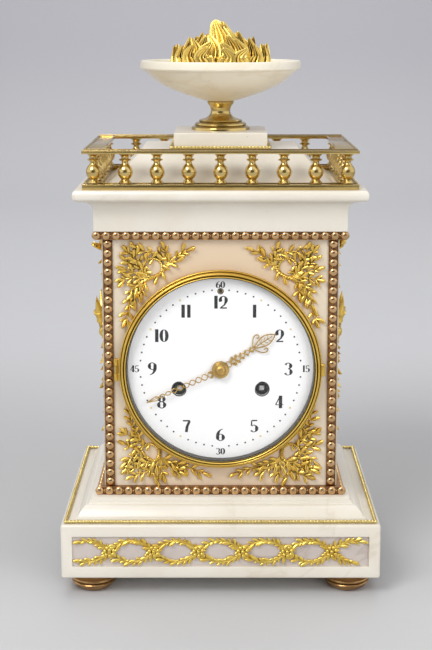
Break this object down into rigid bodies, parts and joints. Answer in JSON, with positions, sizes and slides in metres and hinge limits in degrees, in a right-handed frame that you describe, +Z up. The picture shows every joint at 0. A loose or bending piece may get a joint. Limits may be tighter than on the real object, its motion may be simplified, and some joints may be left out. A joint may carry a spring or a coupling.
{
  "type": "marble pendulum clock",
  "caption": "Mantel clock in white marble with gilt mounts: hinged domed glass over an enamel dial, balustrade gallery, flaming urn, and a striking pendulum movement inside.",
  "frame": {"origin": "on the floor under the middle of the base", "axes": "+Z up, -Y the way the dial faces, +X to the right of someone who reads the dial"},
  "size_m": [0.24, 0.1831, 0.4314],
  "materials": {
    "marble": "polished white",
    "blush_marble": "polished, warm beige",
    "gilt": "matt gilding",
    "bronze": "dark patina",
    "brass": "polished",
    "enamel": "gloss white",
    "steel": "polished",
    "bell_metal": "polished",
    "glass": "clear"
  },
  "bodies": {
    "case": {"foot_front_left": "bronze", "foot_front_right": "bronze", "foot_back_left": "bronze", "foot_back_right": "bronze", "base_plinth": "marble", "base_rope": "gilt", "base_step": "marble", "front_panel": "blush_marble", "back_panel": "marble", "side_panel_left": "marble", "side_panel_right": "marble", "bead_band_foot": "bronze", "bead_band_head": "bronze", "bead_strip_left": "bronze", "bead_strip_right": "bronze", "cornice": "marble", "gallery_front": "brass", "gallery_back": "brass", "gallery_left": "brass", "gallery_right": "brass", "roof_block": "marble", "pedestal_block": "marble", "pedestal_rope": "gilt", "urn_foot": "brass", "urn_bowl": "marble", "flame_finial": "gilt", "spray_upper_left": "gilt", "spray_lower_left": "gilt", "spray_upper_right": "gilt", "spray_lower_right": "gilt", "frieze_mount": "gilt", "side_mount_left": "gilt", "side_mount_right": "gilt", "dial_ring": "brass", "dial": "enamel", "back_ring": "brass", "front_plate": "brass", "back_plate": "brass", "bell": "bell_metal", "back_cock": "brass"},
    "bezel_door": {"bezel": "gilt", "bezel_glass": "glass"},
    "rear_door": {"back_door": "brass"},
    "minute": {"centre_arbor": "steel", "minute_hand": "gilt"},
    "hour": {"hour_wheel": "brass", "hour_hand": "gilt"},
    "minute_work": {"minute_wheel": "brass"},
    "second": {"second_wheel": "brass"},
    "third": {"third_wheel": "brass"},
    "escape": {"escape_wheel": "brass"},
    "going_drum": {"going_barrel": "brass"},
    "going_winder": {"going_arbor": "steel"},
    "strike_drum": {"strike_barrel": "brass"},
    "strike_winder": {"strike_arbor": "steel"},
    "count": {"count_wheel": "brass"},
    "anchor": {"pallets": "steel"},
    "swing": {"pendulum": "brass"},
    "striker": {"hammer": "steel"},
    "regulator": {"regulator_arbor": "steel"}
  },
  "joints": [
    {"name": "bezel_hinge", "type": "hinge", "parent": "case", "child": "bezel_door", "pos_m": [-0.0788, -0.0655, 0.1695], "axis": [0, 0, -1], "range_deg": [0, 100]},
    {"name": "rear_door_hinge", "type": "hinge", "parent": "case", "child": "rear_door", "pos_m": [0.0643, 0.0627, 0.1695], "axis": [0, 0, -1], "range_deg": [0, 110]},
    {"name": "minute_spin", "type": "hinge", "parent": "case", "child": "minute", "pos_m": [0, 0, 0.1695], "axis": [0, 1, 0], "continuous": true},
    {"name": "hour_spin", "type": "hinge", "parent": "case", "child": "hour", "pos_m": [0, 0, 0.1695], "axis": [0, 1, 0], "continuous": true},
    {"name": "minute_wheel_spin", "type": "hinge", "parent": "case", "child": "minute_work", "pos_m": [0, 0, 0.155], "axis": [0, 1, 0], "continuous": true},
    {"name": "second_wheel_spin", "type": "hinge", "parent": "case", "child": "second", "pos_m": [0.01654, 0, 0.16646], "axis": [0, 1, 0], "continuous": true},
    {"name": "third_wheel_spin", "type": "hinge", "parent": "case", "child": "third", "pos_m": [-0.00471, 0, 0.18564], "axis": [0, 1, 0], "continuous": true},
    {"name": "escape_wheel_spin", "type": "hinge", "parent": "case", "child": "escape", "pos_m": [0, 0, 0.198], "axis": [0, 1, 0], "continuous": true},
    {"name": "going_barrel_spin", "type": "hinge", "parent": "case", "child": "going_drum", "pos_m": [0.0313, 0, 0.1541], "axis": [0, 1, 0], "continuous": true},
    {"name": "going_winding", "type": "hinge", "parent": "case", "child": "going_winder", "pos_m": [0.0313, 0, 0.1541], "axis": [0, 1, 0], "continuous": true},
    {"name": "strike_barrel_spin", "type": "hinge", "parent": "case", "child": "strike_drum", "pos_m": [-0.0313, 0, 0.1541], "axis": [0, 1, 0], "continuous": true},
    {"name": "strike_winding", "type": "hinge", "parent": "case", "child": "strike_winder", "pos_m": [-0.0313, 0, 0.1541], "axis": [0, 1, 0], "continuous": true},
    {"name": "count_wheel_spin", "type": "hinge", "parent": "case", "child": "count", "pos_m": [-0.02632, 0, 0.1727], "axis": [0, 1, 0], "continuous": true},
    {"name": "pendulum_swing", "type": "hinge", "parent": "case", "child": "swing", "pos_m": [0, 0, 0.214], "axis": [0, 1, 0], "range_deg": [-4, 4]},
    {"name": "pallets_rock", "type": "hinge", "parent": "case", "child": "anchor", "pos_m": [0, 0, 0.214], "axis": [0, 1, 0], "range_deg": [-4, 4]},
    {"name": "hammer_lift", "type": "hinge", "parent": "case", "child": "striker", "pos_m": [-0.033, 0, 0.1915], "axis": [0, 1, 0], "range_deg": [0, 20]},
    {"name": "regulator_turn", "type": "hinge", "parent": "case", "child": "regulator", "pos_m": [0, 0, 0.2292], "axis": [0, 1, 0], "range_deg": [-180, 180]}
  ],
  "couplings": [
    {"joint": "hour_spin", "follows": "minute_spin", "ratio": 0.083333},
    {"joint": "minute_wheel_spin", "follows": "minute_spin", "ratio": -0.33333},
    {"joint": "second_wheel_spin", "follows": "minute_spin", "ratio": -0.25},
    {"joint": "going_barrel_spin", "follows": "minute_spin", "ratio": 0.0625},
    {"joint": "third_wheel_spin", "follows": "minute_spin", "ratio": -4},
    {"joint": "escape_wheel_spin", "follows": "minute_spin", "ratio": 16},
    {"joint": "count_wheel_spin", "follows": "strike_barrel_spin", "ratio": -4},
    {"joint": "pallets_rock", "follows": "pendulum_swing", "ratio": 1}
  ]
}
